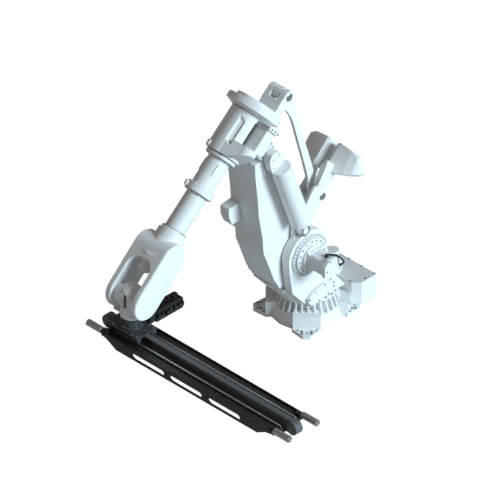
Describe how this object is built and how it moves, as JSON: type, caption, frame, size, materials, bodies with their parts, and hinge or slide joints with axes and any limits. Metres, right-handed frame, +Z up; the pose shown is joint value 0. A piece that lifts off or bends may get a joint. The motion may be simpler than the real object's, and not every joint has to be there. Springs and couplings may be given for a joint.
{
  "type": "industrial robot arm with a parallel rod, counterweight and linear beam tool",
  "caption": "Heavy industrial robot arm with parallel rod, rear counterweight, balance cylinder, forked wrist and a long linear beam for moving sheet parts.",
  "frame": {"origin": "where the base's turning axis meets the floor", "axes": "+Z up, -Y the way the arm reaches, +X along the beam towards its front end"},
  "size_m": [2.6371, 2.7741, 2.5649],
  "materials": {
    "white_paint": "satin",
    "grey_paint": "satin",
    "dark_grey": "satin",
    "black_paint": "satin",
    "rubber": "matt",
    "steel": "ground",
    "bar_aluminium": "anodised"
  },
  "bodies": {
    "base": {"base_casting": "white_paint", "base_ring": "white_paint", "connection_box": "white_paint", "box_lid": "grey_paint"},
    "turntable": {"turntable_frame": "white_paint", "cylinder_bracket": "white_paint", "axis1_cover": "white_paint", "near_gearbox": "white_paint", "far_gearbox": "white_paint", "near_motor": "white_paint", "far_motor": "white_paint", "motor_caps": "white_paint", "drive_conduits": "rubber", "axis1_motor": "white_paint"},
    "lower_arm": {"lower_arm": "white_paint", "stop_block": "white_paint", "elbow_hubs": "white_paint", "top_bracket": "white_paint"},
    "balance_cylinder": {"balance_tube": "white_paint", "balance_cap": "white_paint"},
    "balance_rod": {"balance_rod": "steel"},
    "parallel_arm": {"near_parallel_plate": "white_paint", "far_parallel_plate": "white_paint", "parallel_hub": "white_paint", "near_weight": "white_paint", "far_weight": "white_paint", "lower_rod_pin": "steel"},
    "parallel_rod": {"parallel_rod": "white_paint"},
    "upper_arm": {"arm_house": "white_paint", "house_disc": "white_paint", "rear_ring": "black_paint", "rear_clevis": "white_paint", "upper_rod_pin": "steel", "axis4_lobe": "white_paint", "axis4_motor": "white_paint"},
    "forearm": {"forearm_tube": "white_paint", "forearm_flange": "white_paint", "forearm_front": "white_paint", "wrist_collar": "white_paint", "wrist_fork": "white_paint", "wrist_covers": "white_paint", "crotch_motor": "white_paint"},
    "wrist": {"tilt_housing": "white_paint"},
    "tool_carriage": {"tool_flange": "dark_grey", "carriage_plate": "dark_grey", "carriage_blocks": "dark_grey", "beam_motor": "black_paint"},
    "beam": {"centre_beam": "dark_grey", "guide_rails": "steel", "cross_plate": "black_paint", "belt_pulleys": "dark_grey", "near_rail": "black_paint", "far_rail": "black_paint", "bar_clamps": "black_paint", "front_bars": "bar_aluminium", "rear_bars": "bar_aluminium"}
  },
  "joints": [
    {"name": "base_turn", "type": "hinge", "parent": "base", "child": "turntable", "pos_m": [0, 0, 0], "axis": [0, 0, 1], "range_deg": [-180, 180]},
    {"name": "lower_arm_swing", "type": "hinge", "parent": "turntable", "child": "lower_arm", "pos_m": [0, -0.245, 0.8145], "axis": [1, 0, 0], "range_deg": [-60, 18]},
    {"name": "balance_rod_swing", "type": "hinge", "parent": "turntable", "child": "balance_rod", "pos_m": [0.272, -0.309, 1.0975], "axis": [1, 0, 0], "range_deg": [-80, 25]},
    {"name": "balance_cylinder_swing", "type": "hinge", "parent": "lower_arm", "child": "balance_cylinder", "pos_m": [0.272, -0.61035, 1.94713], "axis": [1, 0, 0], "range_deg": [-18, 8]},
    {"name": "parallel_arm_swing", "type": "hinge", "parent": "lower_arm", "child": "parallel_arm", "pos_m": [0, -0.245, 0.8145], "axis": [-1, 0, 0], "range_deg": [-28, 60]},
    {"name": "parallel_rod_swing", "type": "hinge", "parent": "parallel_arm", "child": "parallel_rod", "pos_m": [0, 0.09288, 1.1512], "axis": [-1, 0, 0], "range_deg": [-60, 28]},
    {"name": "upper_arm_swing", "type": "hinge", "parent": "lower_arm", "child": "upper_arm", "pos_m": [0, -0.65327, 2.02764], "axis": [-1, 0, 0], "range_deg": [-28, 60]},
    {"name": "forearm_roll", "type": "hinge", "parent": "upper_arm", "child": "forearm", "pos_m": [0, -2.06608, 1.14879], "axis": [0, -0.7581, -0.6521], "range_deg": [-180, 180]},
    {"name": "wrist_bend", "type": "hinge", "parent": "forearm", "child": "wrist", "pos_m": [0, -2.06608, 1.14879], "axis": [-1, 0, 0], "range_deg": [-38, 130]},
    {"name": "tool_turn", "type": "hinge", "parent": "wrist", "child": "tool_carriage", "pos_m": [0, -2.06608, 1.14879], "axis": [0, 0, 1], "range_deg": [-225, 45]},
    {"name": "beam_slide", "type": "slide", "parent": "tool_carriage", "child": "beam", "axis": [-1, 0, 0], "range_m": [0, 1.62]}
  ],
  "couplings": [
    {"joint": "balance_rod_swing", "follows": "lower_arm_swing", "ratio": 1.27},
    {"joint": "balance_cylinder_swing", "follows": "lower_arm_swing", "ratio": 0.26},
    {"joint": "parallel_arm_swing", "follows": "upper_arm_swing", "ratio": 1},
    {"joint": "parallel_rod_swing", "follows": "upper_arm_swing", "ratio": -1}
  ]
}
